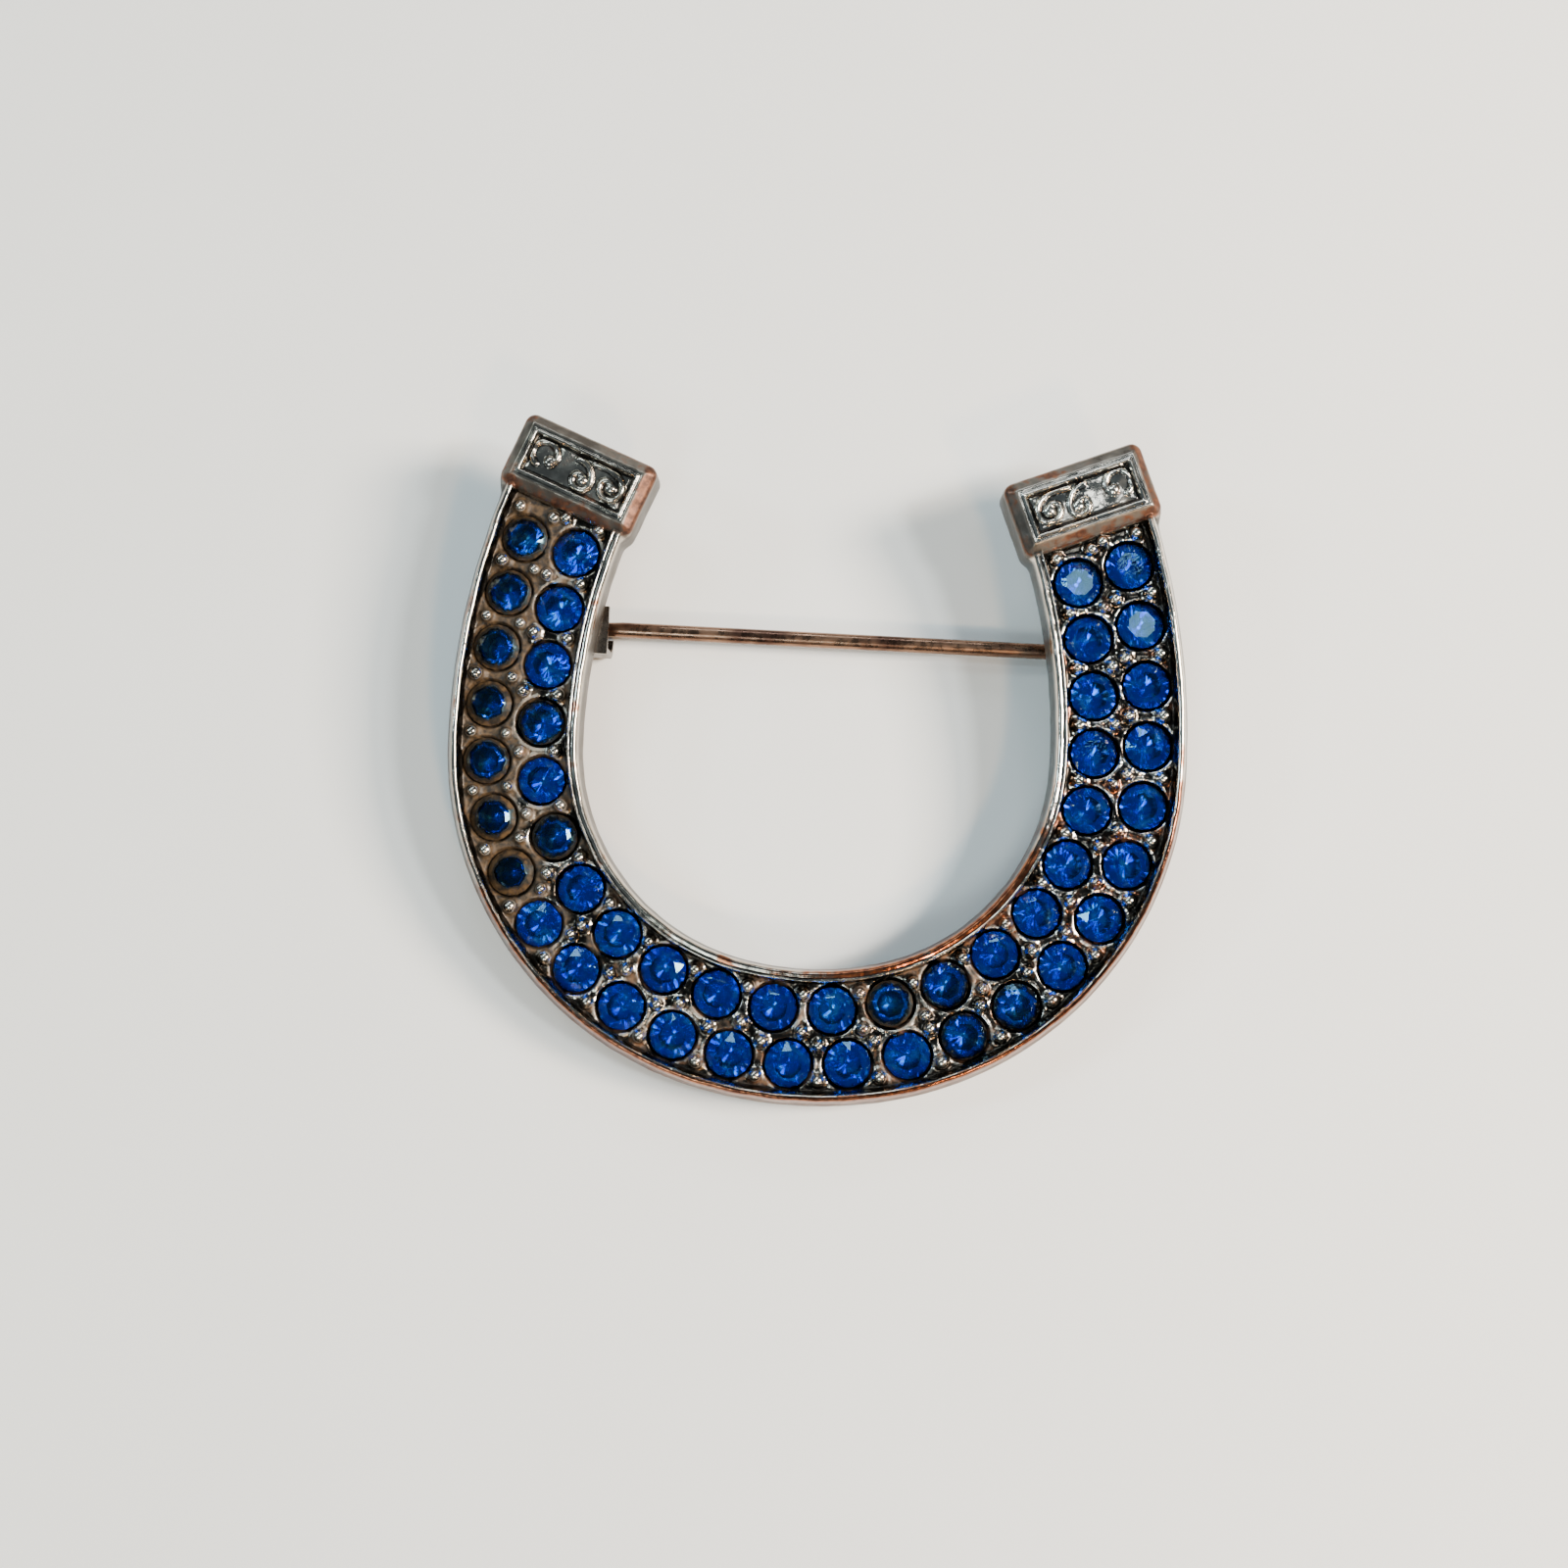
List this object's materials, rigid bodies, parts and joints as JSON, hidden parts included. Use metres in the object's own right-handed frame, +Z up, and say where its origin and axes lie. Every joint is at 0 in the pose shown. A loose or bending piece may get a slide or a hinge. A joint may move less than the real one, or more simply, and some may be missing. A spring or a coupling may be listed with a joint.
{
  "type": "horseshoe brooch",
  "caption": "Worn silver-grey horseshoe brooch with two rows of round deep blue cut stones, scrolled heel panels and a hinged pin stem behind.",
  "frame": {"origin": "centre of the bounding box at floor height, the brooch lying on its back on the floor", "axes": "+Z up, the horseshoe's face up; -Y towards its toe (the closed end) and +Y towards its two open heels; +X towards the branch with the hinge"},
  "size_m": [0.0406, 0.0372, 0.007],
  "materials": {
    "cast_metal": "worn satin",
    "blue_stone": "polished",
    "pin_wire": "worn satin"
  },
  "bodies": {
    "brooch": {"horseshoe_setting": "cast_metal", "outer_stones": "blue_stone", "inner_stones": "blue_stone", "hinge_bracket": "cast_metal", "hinge_rivet": "pin_wire", "catch": "cast_metal"},
    "pin": {"pin_stem": "pin_wire"}
  },
  "joints": [
    {"name": "pin_hinge", "type": "hinge", "parent": "brooch", "child": "pin", "pos_m": [0.01591, 0.00753, 0.00106], "axis": [0, -0.9935, -0.1138], "range_deg": [0, 100]}
  ]
}
